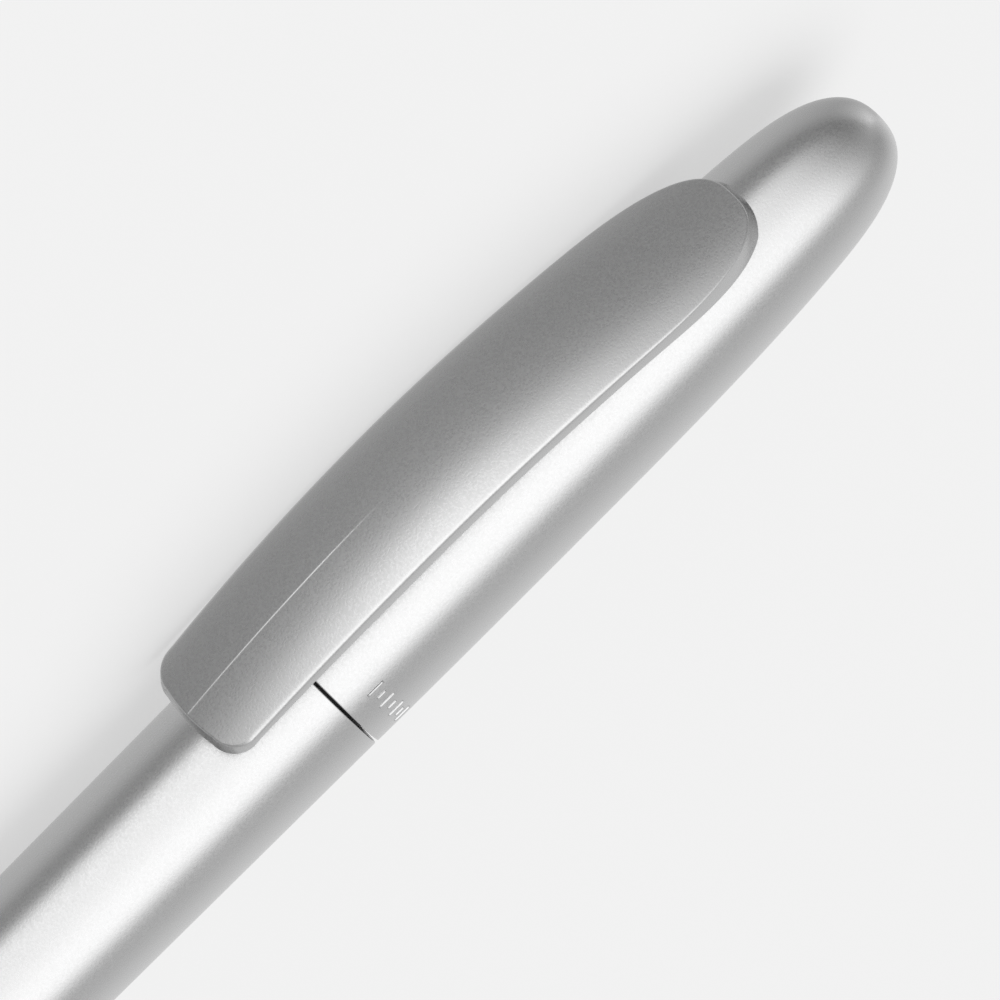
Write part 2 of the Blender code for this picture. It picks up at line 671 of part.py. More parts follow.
def build_refill_nose():
    front = BALL_FRONT + TIP_LENGTH + FIT_GAP
    collar_low = BALL_FRONT + TIP_LENGTH + NOSE_PIECE_LENGTH
    collar_high = collar_low + COLLAR_LENGTH
    spigot = TUBE_BORE - FIT_GAP
    seat = TIP_SPIGOT_RADIUS + FIT_GAP
    seat_floor = BALL_FRONT + TIP_LENGTH + TIP_SPIGOT + FIT_GAP
    rear = collar_high + SPIGOT_LENGTH
    outline = [(spigot, rear), (spigot, collar_high), (COLLAR_RADIUS, collar_high)]
    outline += [(COLLAR_RADIUS, collar_low), (NOSE_PIECE_RADIUS, collar_low), (NOSE_PIECE_RADIUS, front)]
    outline += [(seat, front), (seat, seat_floor), (VENT_RADIUS, seat_floor), (VENT_RADIUS, rear)]
    turned("refill_nose", outline, "white_plastic")
    return rear


def build_refill_body(nose_rear):
    ring("refill_tube", TUBE_BORE, TUBE_RADIUS, TUBE_LOW, TUBE_HIGH, "white_plastic")
    fill = TUBE_BORE - FIT_GAP
    ink_low = nose_rear + FIT_GAP
    ink_high = ink_low + INK_LENGTH
    rod("ink_column", fill, ink_low, ink_high, "ink", FINE_FACETS)
    rod("ink_follower", fill, ink_high + FIT_GAP, ink_high + FIT_GAP + FOLLOWER_LENGTH, "grease", FINE_FACETS)


def build_refill_tail_plug():
    collar_low = REFILL_REAR - TAIL_COLLAR
    spigot = TUBE_BORE - FIT_GAP
    low = collar_low - SPIGOT_LENGTH
    outline = [(COLLAR_RADIUS, REFILL_REAR), (COLLAR_RADIUS, collar_low), (spigot, collar_low)]
    outline += [(spigot, low), (VENT_RADIUS, low), (VENT_RADIUS, REFILL_REAR)]
    plug = turned("refill_tail_plug", outline, "white_plastic")
    half = VENT_SLOT_HALF
    floor = REFILL_REAR - VENT_SLOT_DEPTH
    above = REFILL_REAR + half
    reach = COLLAR_RADIUS + half
    cut(plug, box("vent_slot_cutter_a", (-reach, -half, floor), (reach, half, above)))
    cut(plug, box("vent_slot_cutter_b", (-half, -reach, floor), (half, reach, above)))


def build_return_spring():
    low = NOSE_RIM + NOSE_HOLE_LENGTH + FACE_GAP + SPRING_WIRE
    high = BALL_FRONT + TIP_LENGTH + NOSE_PIECE_LENGTH - FACE_GAP - SPRING_WIRE
    points = SPRING_TURNS * SPRING_POINTS_PER_TURN + 1
    turn = 2 * math.pi * SPRING_TURNS
    helix("return_spring", SPRING_RADIUS, SPRING_WIRE, low, high - low, turn, 0.0, points, "steel")


# ---------------------------------------------------------------- the pen laid down


def lying_angle():
    """How far below level the clip points when its edge and the casing rest on one plane."""
    edge_rise = clip_surface_rise(CLIP_HALF_WIDTH, CLIP_PEAK)
    reach = math.hypot(edge_rise, CLIP_HALF_WIDTH)
    return math.asin(CASING_RADIUS / reach) - math.atan2(CLIP_HALF_WIDTH, edge_rise)


def lay_down():
    """Turn the pen's axis to lie along X, nose towards +X and clip towards -Y, centred on its box."""
    angle = lying_angle()
    PEN_AXIS.rotation_mode = "YXZ"
    PEN_AXIS.rotation_euler = (math.pi + angle, -math.pi / 2, 0.0)
    along = (CASING_LENGTH + BALL_FRONT) / 2
    clip_reach = CLIP_PEAK_RISE * math.cos(angle) + CLIP_CROWN * math.sin(angle) * math.tan(angle) / 2
    across = (clip_reach - CASING_RADIUS) / 2
    PEN_AXIS.location = (along, across, CASING_RADIUS)


clear_scene()
PARTS = make_collection("twist_ballpoint_pen")
CUTTERS = make_collection("cutters")
FINISHES = {name: make_material(name) for name in MATERIALS}
PEN_AXIS = make_empty("pen_axis")
CLIP_HINGE = make_empty("clip_hinge", PEN_AXIS, (0.0, FLEX_PIVOT_RISE, FLEX_PIVOT_HEIGHT))

build_upper_casing()
build_lower_barrel()
build_nose_cone()
build_nose_thread_insert()
build_clip()
build_clip_retainer()
build_mechanism_bush()
build_friction_ring()
build_guide_sleeve()
build_thrust_washer()
build_cam_sleeve()
build_drive_bush()
build_retaining_ring()
build_plunger()
build_tip_ball()
build_refill_tip()
build_refill_body(build_refill_nose())
build_refill_tail_plug()
build_return_spring()
lay_down()
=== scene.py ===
"""The twist-action ballpoint pen's finished look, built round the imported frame."""

import json
import math

import bmesh
import bpy
from mathutils import Matrix, Vector


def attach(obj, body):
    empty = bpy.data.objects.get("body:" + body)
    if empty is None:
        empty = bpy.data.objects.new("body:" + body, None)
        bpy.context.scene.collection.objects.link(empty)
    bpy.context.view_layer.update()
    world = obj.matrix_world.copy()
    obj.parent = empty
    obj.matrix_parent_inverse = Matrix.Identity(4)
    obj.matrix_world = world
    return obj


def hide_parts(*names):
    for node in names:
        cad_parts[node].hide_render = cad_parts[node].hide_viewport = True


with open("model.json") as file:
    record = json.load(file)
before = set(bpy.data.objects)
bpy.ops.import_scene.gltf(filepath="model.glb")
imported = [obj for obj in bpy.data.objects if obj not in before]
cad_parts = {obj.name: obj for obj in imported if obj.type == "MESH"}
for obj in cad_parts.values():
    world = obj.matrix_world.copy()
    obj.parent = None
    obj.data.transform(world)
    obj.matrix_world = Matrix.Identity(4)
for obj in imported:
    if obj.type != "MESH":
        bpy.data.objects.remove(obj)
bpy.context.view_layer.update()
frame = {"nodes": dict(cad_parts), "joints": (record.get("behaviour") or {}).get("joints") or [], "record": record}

MM = 0.001

# ---------------------------------------------------------------- the pen's own frame
# Heights run along the pen's axis from the seam towards the dome; the clip stands out along "rise".

JOINTS = {joint["name"]: joint for joint in frame["joints"]}


def pen_frame():
    """Matrix from pen coordinates (across, rise, height) to the row frame."""
    seam = Vector(JOINTS["twist"]["pos_m"])
    along = Vector(JOINTS["twist"]["axis"]).normalized()
    across = Vector(JOINTS["clip_flex"]["axis"]).normalized()
    rise = along.cross(across)
    turn = Matrix((across, rise, along)).transposed()
    return Matrix.Translation(seam) @ turn.to_4x4()


PEN = pen_frame()

# Sizes in metres. The casings and the point follow the CAD pieces; the clip is finer than its CAD piece.
SEAM_GAP = 0.2 * MM
CASING_LENGTH = 53.2 * MM
CASING_RADIUS = 5.9 * MM
CASING_RIM_INSET = 0.07 * MM
CASING_STRAIGHT = 20.0 * MM
CASING_TAPER = 1.73 * MM
DOME_HEIGHT = 13.2 * MM
DOME_HEIGHT_POWER = 5.0
DOME_RADIUS_POWER = 2.5
DOME_STEP_POWER = 2.4
CASING_BORE = 4.7 * MM
DOME_WALL = 1.3 * MM
BARREL_LENGTH = 68.0 * MM
BARREL_TOP_RADIUS = 5.82 * MM
BARREL_END_RADIUS = 5.32 * MM
BARREL_BORE = 4.75 * MM
BARREL_BORE_DEPTH = 9.9 * MM
BARREL_NARROW_BORE = 3.6 * MM
BARREL_FRONT_WALL_GAP = 0.7 * MM
BARREL_FRONT_EXTRA = 0.6 * MM
NOSE_LENGTH = 20.0 * MM
NOSE_GAP = 0.15 * MM
NOSE_RIM_RADIUS = 2.3 * MM
NOSE_HOLE = 1.45 * MM
NOSE_TENON = 3.95 * MM
NOSE_TENON_LENGTH = 8.0 * MM
NOSE_ROOM = 3.3 * MM
NOSE_NECK = 2.6 * MM
NOSE_HOLE_LENGTH = 3.2 * MM
NOSE_NECK_LENGTH = 6.3 * MM
TIP_REACH = 2.8 * MM
RIM_ROUND = 0.10 * MM
NOSE_CURVE_POWER = 0.9
BALL_RADIUS = 0.5 * MM
BALL_SOCKET = 0.62 * MM
BALL_SHOWING = 0.35 * MM
TIP_RADIUS = 1.15 * MM
TIP_RIM = 0.78 * MM
TIP_CONE = 3.0 * MM
TIP_LENGTH = 6.4 * MM
TIP_SPIGOT_RADIUS = 0.9 * MM
TIP_SPIGOT = 3.2 * MM
INK_CHANNEL = 0.4 * MM
POINT_FIT = 0.15 * MM
POINT_SEGMENTS = 96

CLIP_LOW = -7.46 * MM
CLIP_HIGH = 42.4 * MM
CLIP_PEAK = 13.0 * MM
CLIP_PEAK_RISE = 9.82 * MM
CLIP_SEAT_RISE = 6.1 * MM
CLIP_FRONT_ARCH = 125.0 * MM
CLIP_HALF_WIDTH = 5.24 * MM
CLIP_WIDEST = 18.0 * MM
CLIP_SIDE_ARC = 640.0 * MM
CLIP_NEAR_CROWN = 29.0 * MM
CLIP_NEAR_ROLL = 0.17 * MM
CLIP_FAR_CROWN = 34.0 * MM
CLIP_FAR_ROLL = 0.15 * MM
CLIP_FRONT_THICKNESS = 0.80 * MM
CLIP_MIDDLE_THICKNESS = 1.15 * MM
CLIP_BACK_THICKNESS = 1.50 * MM
CLIP_THIN_UNTIL = -8.0 * MM
CLIP_MIDDLE_FROM = 9.0 * MM
CLIP_MIDDLE_UNTIL = 31.0 * MM
CLIP_THICK_FROM = 40.0 * MM
CLIP_END_DRAFT = 0.30 * MM
CLIP_SEAT_FROM = 30.0 * MM
CLIP_SEAT_GAP = 0.04 * MM
CLIP_CORNER_LENGTH = 2.0 * MM
CLIP_CORNER_WIDTH = 2.3 * MM
CLIP_END_BOW = 0.2 * MM
CLIP_END_LENGTH = 12.0 * MM
CLIP_END_POWER = 2.9
CLIP_EDGE_ROUND = 0.42 * MM
CLIP_END_EDGE = 0.16 * MM
CLIP_EDGE_GROWTH = 3.0 * MM
CLIP_ROUND_UNTIL = 24.0 * MM
CLIP_CRISP_FROM = 38.0 * MM
CLIP_UNDER_ROUND = 0.10 * MM
STEEPEST_FALL = math.radians(60.0)
STEEPEST_RISE = math.radians(20.0)
SLOPE_REACH = 0.05 * MM
MOULD_STEP = 0.020 * MM
MOULD_STEP_WIDTH = 0.035 * MM
MOULD_CREASE = 0.012
MOULD_FADE_START = 4.0 * MM
MOULD_FADE_END = 13.5 * MM
MOULD_COLUMNS = (0.0, 0.012, 0.024, 0.036, 0.05, 0.07, 0.1, 0.16, 0.3)  # in millimetres
MOULD_COLUMNS_FULL = 1.5 * MM

# ---------------------------------------------------------------- mesh helpers

MERGE_DISTANCE = 1e-8


def finish_mesh(name, verts, faces, body, material, sharp=40.0):
    """A smooth mesh object in the row frame, riding on a body."""
    mesh = bpy.data.meshes.new(name)
    mesh.from_pydata([PEN @ Vector(vert) for vert in verts], [], faces)
    shape = bmesh.new()
    shape.from_mesh(mesh)
    bmesh.ops.remove_doubles(shape, verts=shape.verts, dist=MERGE_DISTANCE)
    bmesh.ops.recalc_face_normals(shape, faces=shape.faces)
    shape.to_mesh(mesh)
    shape.free()
    mesh.shade_smooth()
    mesh.set_sharp_from_angle(angle=math.radians(sharp))
    mesh.materials.append(material)
    piece = bpy.data.objects.new(name, mesh)
    bpy.context.scene.collection.objects.link(piece)
    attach(piece, body)
    return piece


def lathe(name, outline, body, material, segments=256):
    """A turned piece from (radius, height) points; points on the axis close it."""
    closed = outline[0][0] > 0.0
    verts = []
    rows = []
    for radius, height in outline:
        row = len(verts)
        if radius == 0.0:
            verts.append((0.0, 0.0, height))
            rows.append([row] * segments)
            continue
        for i in range(segments):
            angle = 2 * math.pi * i / segments
            verts.append((radius * math.cos(angle), radius * math.sin(angle), height))
        rows.append(list(range(row, row + segments)))
    faces = []
    count = len(rows)
    for k in range(count if closed else count - 1):
        low, high = rows[k], rows[(k + 1) % count]
        for i in range(segments):
            j = (i + 1) % segments
            corners = [low[i], low[j], high[j], high[i]]
            loop = [v for n, v in enumerate(corners) if v != corners[n - 1]]
            if len(set(loop)) > 2:
                faces.append(loop)
    return finish_mesh(name, verts, faces, body, material)


def rounded(corner, before, after, radius, steps=5):
    """The corner of an outline replaced by a round stretch."""
    corner = Vector(corner)
    start = corner + (Vector(before) - corner).normalized() * radius
    end = corner + (Vector(after) - corner).normalized() * radius
    points = []
    for i in range(steps + 1):
        share = i / steps
        point = start * (1 - share) ** 2 + corner * (2 * share * (1 - share)) + end * share**2
        points.append((point.x, point.y))
    return points


# ---------------------------------------------------------------- materials


def new_material(name, colour, metallic, roughness):
    material = bpy.data.materials.new(name)
    material.use_nodes = True
    nodes = material.node_tree.nodes
    shader = nodes["Principled BSDF"]
    shader.inputs["Base Color"].default_value = (*colour, 1.0)
    shader.inputs["Metallic"].default_value = metallic
    shader.inputs["Roughness"].default_value = roughness
    return material, nodes, material.node_tree.links, shader


def texture_space(nodes, links, scale=(1.0, 1.0, 1.0)):
    place = nodes.new("ShaderNodeTexCoord")
    mapping = nodes.new("ShaderNodeMapping")
    mapping.inputs["Scale"].default_value = scale
    links.new(place.outputs["Object"], mapping.inputs["Vector"])
    return mapping.outputs["Vector"]


def noise(nodes, links, space, size, detail=2.0, roughness=0.5):
    """Noise whose features are about this size in metres."""
    texture = nodes.new("ShaderNodeTexNoise")
    texture.inputs["Scale"].default_value = 1.0 / size
    texture.inputs["Detail"].default_value = detail
    texture.inputs["Roughness"].default_value = roughness
    links.new(space, texture.inputs["Vector"])
    return texture.outputs["Fac"]


def ramp_value(nodes, links, source, low, high, start=0.3, end=0.7):
    """The source spread from low to high."""
    spread = nodes.new("ShaderNodeMapRange")
    spread.inputs["From Min"].default_value = start
    spread.inputs["From Max"].default_value = end
    spread.inputs["To Min"].default_value = low
    spread.inputs["To Max"].default_value = high
    links.new(source, spread.inputs["Value"])
    return spread.outputs["Result"]


def mix_colour(nodes, links, factor, first, second):
    mix = nodes.new("ShaderNodeMix")
    mix.data_type = "RGBA"
    mix.inputs["A"].default_value = (*first, 1.0)
    mix.inputs["B"].default_value = (*second, 1.0)
    links.new(factor, mix.inputs["Factor"])
    return mix.outputs["Result"]


def bump(nodes, links, height, strength, distance, under=None):
    relief = nodes.new("ShaderNodeBump")
    relief.inputs["Strength"].default_value = strength
    relief.inputs["Distance"].default_value = distance
    links.new(height, relief.inputs["Height"])
    if under is not None:
        links.new(under, relief.inputs["Normal"])
    return relief.outputs["Normal"]


FLAKE_SIZE = 0.18 * MM
FLAKE_RELIEF = 0.006 * MM
FLAKE_DARK = (0.732, 0.732, 0.735)
FLAKE_LIGHT = (0.756, 0.756, 0.756)
FLAKE_SMOOTH = 0.24
FLAKE_ROUGH = 0.345
PEEL_SIZE = 1.1 * MM
PEEL_RELIEF = 0.0012 * MM
RING_SPACE = (1.0, 0.02, 0.02)
RING_SIZE = 0.05 * MM
RING_RELIEF = 0.006 * MM
RING_STRENGTH = 0.25
WEAR_ROUGHNESS = 0.12
MOULDED_RELIEF = 0.01 * MM
MOULDED_STRENGTH = 0.2
MOULDED_SMOOTHER = 0.06
MOULDED_ROUGHER = 0.08
BROAD_PER_GRAIN = 12


def silver_lacquer():
    """Satin metallic lacquer: fine flake that scatters unevenly, and a trace of orange peel."""
    material, nodes, links, shader = new_material("silver_lacquer", (0.72, 0.72, 0.72), 1.0, 0.30)
    space = texture_space(nodes, links)
    flake = noise(nodes, links, space, FLAKE_SIZE, 2.0, 0.6)
    mottle = noise(nodes, links, space, PEEL_SIZE, 3.0, 0.55)
    grain = ramp_value(nodes, links, flake, 0.0, 1.0)
    links.new(mix_colour(nodes, links, grain, FLAKE_DARK, FLAKE_LIGHT), shader.inputs["Base Color"])
    links.new(ramp_value(nodes, links, flake, FLAKE_SMOOTH, FLAKE_ROUGH), shader.inputs["Roughness"])
    peel = bump(nodes, links, mottle, 1.0, PEEL_RELIEF)
    links.new(bump(nodes, links, flake, 1.0, FLAKE_RELIEF, peel), shader.inputs["Normal"])
    return material


def turned_metal(name, light, dark, roughness, wear):
    """Turned metal: fine rings round the pen's axis, with duller patches."""
    material, nodes, links, shader = new_material(name, light, 1.0, roughness)
    rings = noise(nodes, links, texture_space(nodes, links, RING_SPACE), RING_SIZE, 2.0)
    patches = noise(nodes, links, texture_space(nodes, links), wear, 3.0)
    tone = ramp_value(nodes, links, patches, 0.0, 1.0)
    links.new(mix_colour(nodes, links, tone, dark, light), shader.inputs["Base Color"])
    worn = roughness + WEAR_ROUGHNESS
    links.new(ramp_value(nodes, links, patches, worn, roughness), shader.inputs["Roughness"])
    links.new(bump(nodes, links, rings, RING_STRENGTH, RING_RELIEF), shader.inputs["Normal"])
    return material


def moulded(name, light, dark, roughness, grain, gloss=0.5):
    """Moulded plastic, rubber, ink or grease: fine texture and uneven tone."""
    material, nodes, links, shader = new_material(name, light, 0.0, roughness)
    shader.inputs["Specular IOR Level"].default_value = gloss
    space = texture_space(nodes, links)
    fine = noise(nodes, links, space, grain, 3.0)
    broad = noise(nodes, links, space, BROAD_PER_GRAIN * grain, 2.0)
    tone = ramp_value(nodes, links, broad, 0.0, 1.0)
    links.new(mix_colour(nodes, links, tone, dark, light), shader.inputs["Base Color"])
    low, high = roughness - MOULDED_SMOOTHER, roughness + MOULDED_ROUGHER
    links.new(ramp_value(nodes, links, fine, low, high), shader.inputs["Roughness"])
    links.new(bump(nodes, links, fine, MOULDED_STRENGTH, MOULDED_RELIEF), shader.inputs["Normal"])
    return material


MATERIALS = {
    "silver_lacquer": silver_lacquer(),
    "brass": turned_metal("brass", (0.80, 0.60, 0.30), (0.62, 0.45, 0.20), 0.28, 1.2 * MM),
    "steel": turned_metal("steel", (0.66, 0.66, 0.67), (0.52, 0.52, 0.54), 0.20, 1.0 * MM),
    "carbide": turned_metal("carbide", (0.46, 0.46, 0.48), (0.34, 0.34, 0.36), 0.10, 0.4 * MM),
    "black_plastic": moulded("black_plastic", (0.035, 0.035, 0.036), (0.02, 0.02, 0.02), 0.45, 0.08 * MM),
    "white_plastic": moulded("white_plastic", (0.82, 0.82, 0.79), (0.74, 0.74, 0.70), 0.40, 0.10 * MM),
    "rubber": moulded("rubber", (0.03, 0.03, 0.03), (0.015, 0.015, 0.015), 0.70, 0.06 * MM, 0.3),
    "ink": moulded("ink", (0.012, 0.012, 0.03), (0.006, 0.006, 0.016), 0.18, 0.3 * MM),
    "grease": moulded("grease", (0.72, 0.63, 0.40), (0.60, 0.50, 0.30), 0.30, 0.2 * MM),
}

# ---------------------------------------------------------------- casings


def casing_radius(height):
    """Outer radius of the upper casing at a height above the seam."""
    low = max(0.0, 1.0 - height / CASING_STRAIGHT)
    high = max(0.0, (height - CASING_STRAIGHT) / (CASING_LENGTH - CASING_STRAIGHT))
    radius = CASING_RADIUS - CASING_RIM_INSET * low**3 - CASING_TAPER * high**3
    up_dome = max(0.0, 1.0 - (CASING_LENGTH - height) / DOME_HEIGHT)
    return radius * (1.0 - min(1.0, up_dome) ** DOME_HEIGHT_POWER) ** (1.0 / DOME_RADIUS_POWER)


def build_casing():
    rim = SEAM_GAP / 2
    steps = 90
    outline = []
    for i in range(steps + 1):
        height = CASING_LENGTH - DOME_HEIGHT * (i / steps) ** DOME_STEP_POWER
        outline.append((casing_radius(height), height))
    foot = CASING_LENGTH - DOME_HEIGHT
    side_end = rim + RIM_ROUND
    side_steps = 60
    for i in range(1, side_steps):
        height = foot + (side_end - foot) * i / side_steps
        outline.append((casing_radius(height), height))
    corner = (casing_radius(rim), rim)
    outline += rounded(corner, (casing_radius(rim), foot), (CASING_BORE, rim), RIM_ROUND)
    outline.append((CASING_BORE, rim))
    inner_dome = DOME_HEIGHT - DOME_WALL
    inner_steps = 16
    for i in range(inner_steps):
        angle = math.radians(90.0) * i / inner_steps
        outline.append((CASING_BORE * math.cos(angle), foot + inner_dome * math.sin(angle)))
    outline.append((0.0, foot + inner_dome))
    outline[0] = (0.0, CASING_LENGTH)
    casing = lathe("casing_shell", outline, "upper", MATERIALS["silver_lacquer"])
    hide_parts("upper_casing")


def barrel_radius(height):
    return BARREL_TOP_RADIUS + (BARREL_END_RADIUS - BARREL_TOP_RADIUS) * (-height / BARREL_LENGTH)


def build_barrel():
    top = -SEAM_GAP / 2
    end = -BARREL_LENGTH
    tenon_bore = NOSE_TENON + BARREL_FRONT_WALL_GAP
    outline = rounded((barrel_radius(top), top), (BARREL_BORE, top), (barrel_radius(end), end), RIM_ROUND)
    steps = 40
    for i in range(1, steps):
        height = top - RIM_ROUND + (end + 2 * RIM_ROUND - top) * i / steps
        outline.append((barrel_radius(height), height))
    outline += rounded((barrel_radius(end), end), (barrel_radius(top), top), (tenon_bore, end), RIM_ROUND)
    step = end + NOSE_TENON_LENGTH + BARREL_FRONT_EXTRA
    floor = top - BARREL_BORE_DEPTH
    outline += [(tenon_bore, end), (tenon_bore, step), (BARREL_NARROW_BORE, step)]
    outline += [(BARREL_NARROW_BORE, floor), (BARREL_BORE, floor), (BARREL_BORE, top)]
    barrel = lathe("barrel_shell", outline, "barrel", MATERIALS["silver_lacquer"])
    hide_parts("lower_barrel")


def nose_radius(share):
    """Outer radius of the nose cone, from 0 at the barrel to 1 at its rim."""
    flare = math.cos(share * math.pi / 2) ** NOSE_CURVE_POWER
    return NOSE_RIM_RADIUS + (BARREL_END_RADIUS - NOSE_RIM_RADIUS) * flare


def build_nose():
    top = -BARREL_LENGTH - NOSE_GAP
    rim = -(BARREL_LENGTH + NOSE_LENGTH)
    outline = rounded((BARREL_END_RADIUS, top), (NOSE_TENON, top), (BARREL_END_RADIUS, rim), RIM_ROUND)
    steps = 60
    for i in range(1, steps):
        share = i / steps
        outline.append((nose_radius(share), top - RIM_ROUND + (rim + 2 * RIM_ROUND - top) * share))
    outline += rounded((NOSE_RIM_RADIUS, rim), outline[-1], (NOSE_HOLE, rim), 1.5 * RIM_ROUND)
    outline += rounded((NOSE_HOLE, rim), (NOSE_RIM_RADIUS, rim), (NOSE_HOLE, top), RIM_ROUND)
    neck = rim + NOSE_HOLE_LENGTH
    room = neck + NOSE_NECK_LENGTH
    tenon = -BARREL_LENGTH + NOSE_TENON_LENGTH
    outline += [(NOSE_HOLE, neck), (NOSE_NECK, neck), (NOSE_NECK, room), (NOSE_ROOM, room)]
    outline += [(NOSE_ROOM, tenon), (NOSE_TENON, tenon), (NOSE_TENON, top)]
    nose = lathe("nose_shell", outline, "nose", MATERIALS["silver_lacquer"])
    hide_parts("nose_cone")


# ---------------------------------------------------------------- the refill's point


def build_point():
    front = -(BARREL_LENGTH + NOSE_LENGTH) - TIP_REACH
    steps = 48
    outline = []
    for i in range(steps + 1):
        angle = math.pi * i / steps
        outline.append((BALL_RADIUS * math.sin(angle), front + BALL_RADIUS * (1.0 + math.cos(angle))))
    outline[0] = (0.0, front + 2 * BALL_RADIUS)
    outline[-1] = (0.0, front)
    ball = lathe("ball_round", outline, "ball", MATERIALS["carbide"], POINT_SEGMENTS)
    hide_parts("tip_ball")
    rim = front + BALL_SHOWING
    floor = front + 2 * BALL_RADIUS + POINT_FIT
    shaft = front + TIP_LENGTH
    rear = shaft + TIP_SPIGOT
    outline = [(TIP_SPIGOT_RADIUS, rear), (TIP_SPIGOT_RADIUS, shaft), (TIP_RADIUS, shaft)]
    outline += [(TIP_RADIUS, front + TIP_CONE), (TIP_RIM, rim), (BALL_SOCKET, rim)]
    outline += [(BALL_SOCKET, floor), (INK_CHANNEL, floor), (INK_CHANNEL, rear)]
    tip = lathe("tip_cone", outline, "refill", MATERIALS["steel"], POINT_SEGMENTS)
    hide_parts("refill_tip")


# ---------------------------------------------------------------- clip


def mould_fade(height):
    return 1.0 - smooth(height, MOULD_FADE_START, MOULD_FADE_END)


def clip_drop(across):
    """How far the clip's top falls from its middle; the side towards the camera is rounder."""
    crown = CLIP_NEAR_CROWN if across < 0.0 else CLIP_FAR_CROWN
    roll = CLIP_NEAR_ROLL if across < 0.0 else CLIP_FAR_ROLL
    return across**2 / (2 * crown) + roll * (across / CLIP_HALF_WIDTH) ** 4


def clip_rise(across, height):
    """The clip's top surface: arched along, crowned across, with its mould line."""
    if height < CLIP_PEAK:
        crest = CLIP_PEAK_RISE - (height - CLIP_PEAK) ** 2 / (2 * CLIP_FRONT_ARCH)
    else:
        share = (height - CLIP_PEAK) / (CLIP_HIGH - CLIP_PEAK)
        crest = CLIP_SEAT_RISE + (CLIP_PEAK_RISE - CLIP_SEAT_RISE) * math.cos(share * math.pi / 2)
    fade = mould_fade(height)
    crease = MOULD_CREASE * (abs(across) - across**2 / CLIP_HALF_WIDTH)
    step = MOULD_STEP * (1.0 + math.tanh(across / MOULD_STEP_WIDTH)) / 2
    return crest - clip_drop(across) - fade * (crease - step)


def smooth(value, start, end):
    share = min(1.0, max(0.0, (value - start) / (end - start)))
    return share * share * (3.0 - 2.0 * share)


def clip_thickness(height):
    """Thin at the free end, thick where the clip sits on the casing."""
    forward = CLIP_MIDDLE_THICKNESS - CLIP_FRONT_THICKNESS
    backward = CLIP_BACK_THICKNESS - CLIP_MIDDLE_THICKNESS
    front = smooth(height, CLIP_THIN_UNTIL, CLIP_MIDDLE_FROM)
    back = smooth(height, CLIP_MIDDLE_UNTIL, CLIP_THICK_FROM)
    return CLIP_FRONT_THICKNESS + forward * front + backward * back


def clip_edge_round(height):
    """Radius of the top edge: round along the sides, crisper at both ends."""
    lower = smooth(height, CLIP_LOW, CLIP_LOW + CLIP_EDGE_GROWTH)
    upper = 1.0 - smooth(height, CLIP_ROUND_UNTIL, CLIP_CRISP_FROM)
    return CLIP_END_EDGE + (CLIP_EDGE_ROUND - CLIP_END_EDGE) * lower * upper


def clip_half_width(height):
    return CLIP_HALF_WIDTH - (height - CLIP_WIDEST) ** 2 / (2 * CLIP_SIDE_ARC)


def clip_outline():
    """Half of the clip's outline as (across, height), from its lower end's middle to its upper end's."""
    points = []
    corner_top = CLIP_LOW + CLIP_END_BOW + CLIP_CORNER_LENGTH
    flat = clip_half_width(corner_top) - CLIP_CORNER_WIDTH
    end_steps = 14
    for i in range(end_steps):
        across = flat * i / end_steps
        points.append((across, CLIP_LOW + CLIP_END_BOW * (across / flat) ** 2))
    corner_steps = 16
    for i in range(corner_steps):
        angle = math.radians(90.0) * i / corner_steps
        across = flat + CLIP_CORNER_WIDTH * math.sin(angle)
        points.append((across, corner_top - CLIP_CORNER_LENGTH * math.cos(angle)))
    side_top = CLIP_HIGH - CLIP_END_LENGTH
    side_steps = 90
    for i in range(side_steps):
        height = corner_top + (side_top - corner_top) * i / side_steps
        points.append((clip_half_width(height), height))
    round_steps = 60
    for i in range(round_steps + 1):
        angle = math.radians(90.0) * i / round_steps
        up = math.sin(angle) ** (2 / CLIP_END_POWER)
        height = side_top + CLIP_END_LENGTH * up
        points.append((clip_half_width(height) * max(0.0, math.cos(angle)) ** (2 / CLIP_END_POWER), height))
    points[-1] = (0.0, CLIP_HIGH)
    return points


def outline_normals(points):
    """Outward normals of the half outline, square to the middle plane at both ends."""
    normals = []
    last = len(points) - 1
    for i in range(len(points)):
        if i in (0, last):
            normals.append(Vector((0.0, -1.0 if i == 0 else 1.0)))
            continue
        step = Vector(points[i + 1]) - Vector(points[i - 1])
        normals.append(Vector((step.y, -step.x)).normalized())
    return normals


def across_columns(half):
    """Places across the clip from the middle out, close together at the mould line."""
    squeeze = min(1.0, half / MOULD_COLUMNS_FULL)
    near = [value * MM * squeeze for value in MOULD_COLUMNS]
    steps = 20
    far = [near[-1] + (half - near[-1]) * i / steps for i in range(1, steps + 1)]
    return near + far


